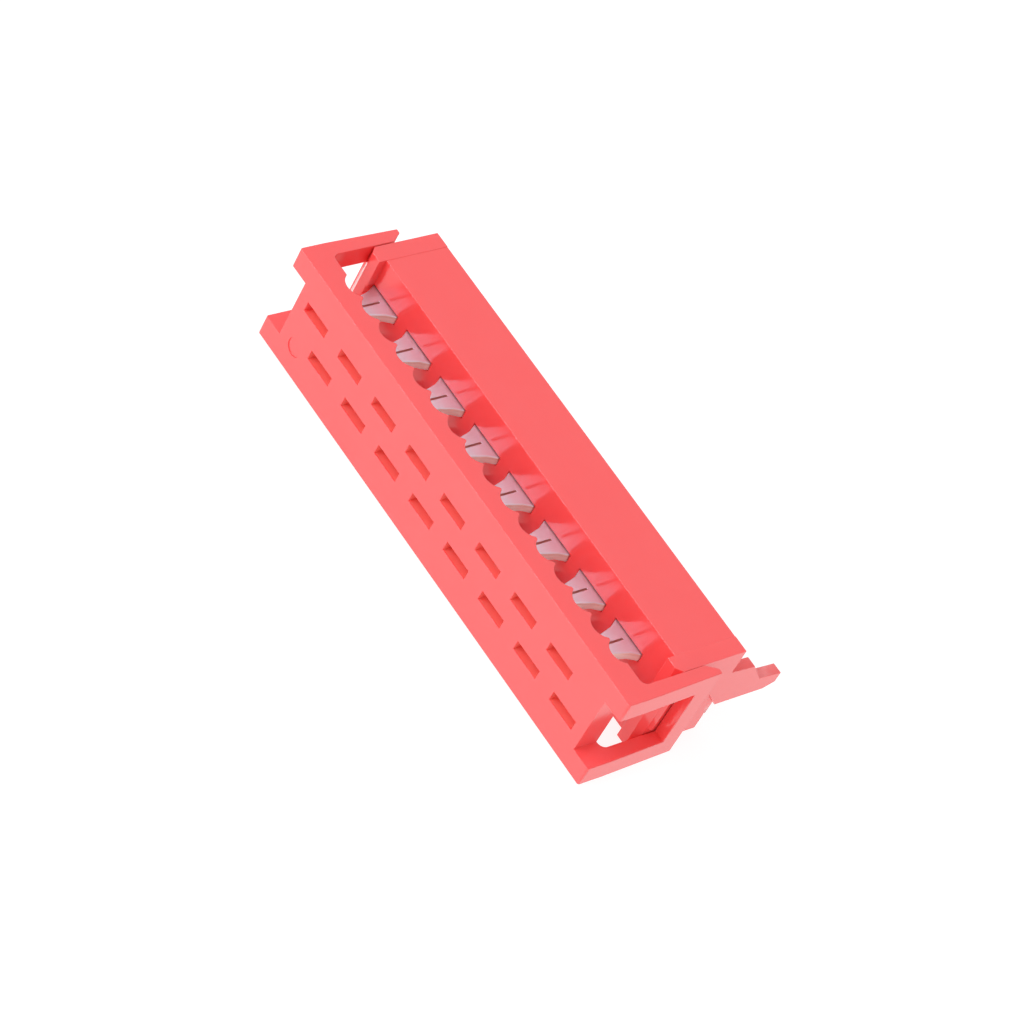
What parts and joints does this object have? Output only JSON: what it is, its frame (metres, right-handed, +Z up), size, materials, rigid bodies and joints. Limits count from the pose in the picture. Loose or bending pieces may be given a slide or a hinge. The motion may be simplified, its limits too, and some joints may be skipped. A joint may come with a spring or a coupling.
{
  "type": "wire-to-board connector",
  "caption": "Ribbon-cable wire-to-board plug: slotted press-down cover with latch arms, open-ended housing with a polarising key, and staggered forked contacts.",
  "frame": {"origin": "centre of the bounding box, on the side that the plug lies on", "axes": "+X along the contact rows towards the keyed end, +Y from the cover's slot face to the mating side, +Z up through the thickness"},
  "size_m": [0.0238, 0.01, 0.005],
  "materials": {
    "red_plastic": "satin moulded red polyester",
    "tinned_bronze": "bright tin plate over stamped bronze strip"
  },
  "bodies": {
    "housing": {"housing": "red_plastic", "contact_01": "tinned_bronze", "contact_02": "tinned_bronze", "contact_03": "tinned_bronze", "contact_04": "tinned_bronze", "contact_05": "tinned_bronze", "contact_06": "tinned_bronze", "contact_07": "tinned_bronze", "contact_08": "tinned_bronze", "contact_09": "tinned_bronze", "contact_10": "tinned_bronze", "contact_11": "tinned_bronze", "contact_12": "tinned_bronze", "contact_13": "tinned_bronze", "contact_14": "tinned_bronze", "contact_15": "tinned_bronze", "contact_16": "tinned_bronze"},
    "cover": {"cover": "red_plastic"}
  },
  "joints": [
    {"name": "cover_press", "type": "slide", "parent": "housing", "child": "cover", "axis": [0, 1, 0], "range_m": [0, 0.00182]}
  ]
}
